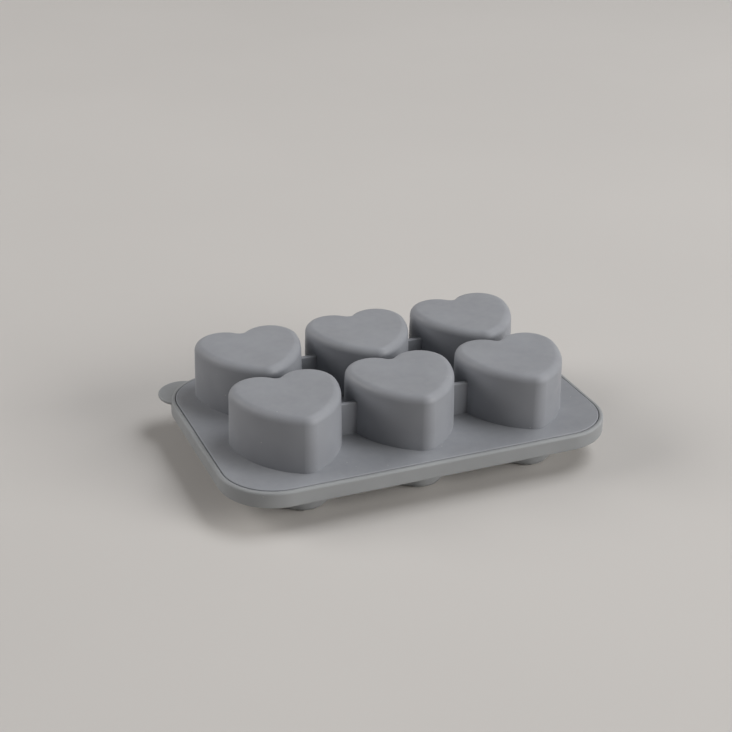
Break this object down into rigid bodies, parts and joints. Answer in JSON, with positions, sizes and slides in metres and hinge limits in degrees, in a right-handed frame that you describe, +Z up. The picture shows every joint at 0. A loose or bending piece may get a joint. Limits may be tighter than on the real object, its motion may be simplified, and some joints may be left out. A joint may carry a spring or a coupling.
{
  "type": "silicone soap mould",
  "caption": "Upturned silicone mould tray of deep heart-shaped cups with a rimmed, shallow-welled lid and pull tab.",
  "frame": {"origin": "middle of the footprint, pull tab included, on the surface that the lid's wells stand on", "axes": "+Z up from the lid to the upturned cups, +X along the long side; the hearts' tips point to -Y and the pull tab is at the -X, +Y corner"},
  "size_m": [0.2036, 0.1292, 0.0494],
  "materials": {
    "lid_silicone": "satin moulded silicone, plain grey",
    "tray_silicone": "satin moulded silicone, plain cool grey"
  },
  "bodies": {
    "lid": {"lid": "lid_silicone"},
    "tray": {"mould_tray": "tray_silicone"}
  },
  "joints": [
    {"name": "tray_lift", "type": "slide", "parent": "lid", "child": "tray", "axis": [0, 0, 1], "range_m": [0, 0.06]}
  ]
}
